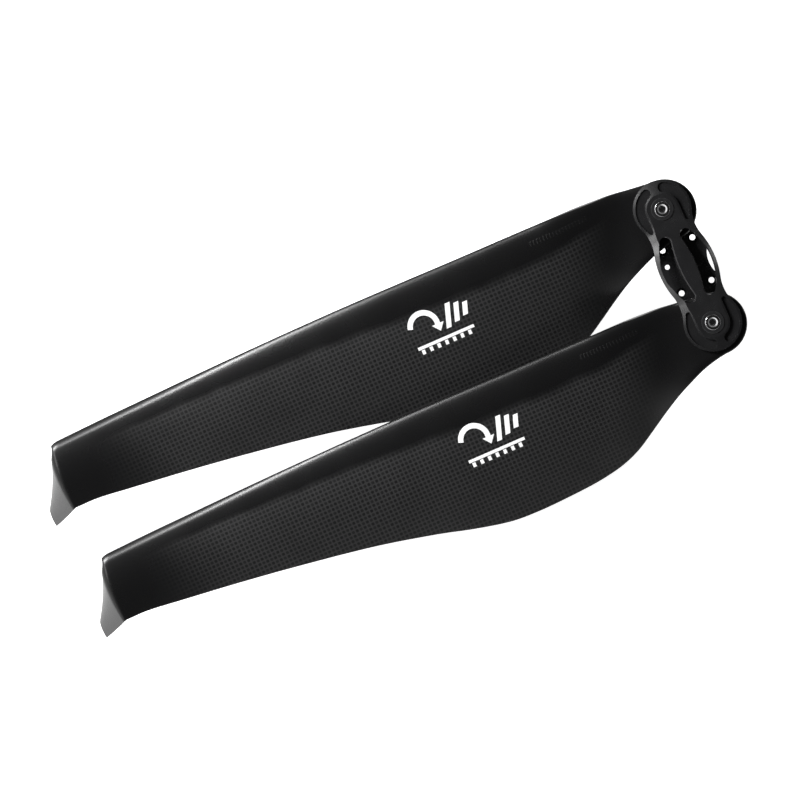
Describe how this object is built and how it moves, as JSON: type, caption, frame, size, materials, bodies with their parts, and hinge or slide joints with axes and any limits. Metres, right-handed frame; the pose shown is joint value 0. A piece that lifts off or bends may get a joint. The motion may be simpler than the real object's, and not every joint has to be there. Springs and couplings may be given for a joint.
{
  "type": "folding propeller",
  "caption": "Folding carbon propeller with bent-down tips: blades swing on shoulder bolts between two machined hub plates.",
  "frame": {"origin": "on the rotation axis, at the hub face that sits on the motor", "axes": "+Z along the rotation axis to the thrust side; the two folding axes lie on X; the folded blades point to -Y"},
  "size_m": [0.1277, 0.3446, 0.0285],
  "materials": {
    "anodised_aluminium": "satin black anodised",
    "black_steel": "black oxide",
    "bright_steel": "polished",
    "nylon": "moulded",
    "friction_washer": "smooth",
    "carbon": "satin moulded carbon",
    "foam_core": "closed-cell foam",
    "brass": "turned"
  },
  "bodies": {
    "hub": {"hub_base": "anodised_aluminium", "hub_cap": "anodised_aluminium", "plate_screws": "black_steel", "pivot_bolt_1": "bright_steel", "pivot_bolt_2": "bright_steel", "pivot_cup_1": "black_steel", "pivot_cup_2": "black_steel", "lock_nut_1": "bright_steel", "lock_nut_2": "bright_steel", "nut_insert_1": "nylon", "nut_insert_2": "nylon", "upper_washer_1": "friction_washer", "upper_washer_2": "friction_washer", "lower_washer_1": "friction_washer", "lower_washer_2": "friction_washer"},
    "blade_1": {"blade_1_skin": "carbon", "blade_1_core": "foam_core", "blade_1_sleeve": "brass"},
    "blade_2": {"blade_2_skin": "carbon", "blade_2_core": "foam_core", "blade_2_sleeve": "brass"}
  },
  "joints": [
    {"name": "blade_1_fold", "type": "hinge", "parent": "hub", "child": "blade_1", "pos_m": [-0.0295, 0, 0.01], "axis": [0, 0, -1], "range_deg": [0, 180]},
    {"name": "blade_2_fold", "type": "hinge", "parent": "hub", "child": "blade_2", "pos_m": [0.0295, 0, 0.01], "axis": [0, 0, 1], "range_deg": [0, 180]}
  ]
}
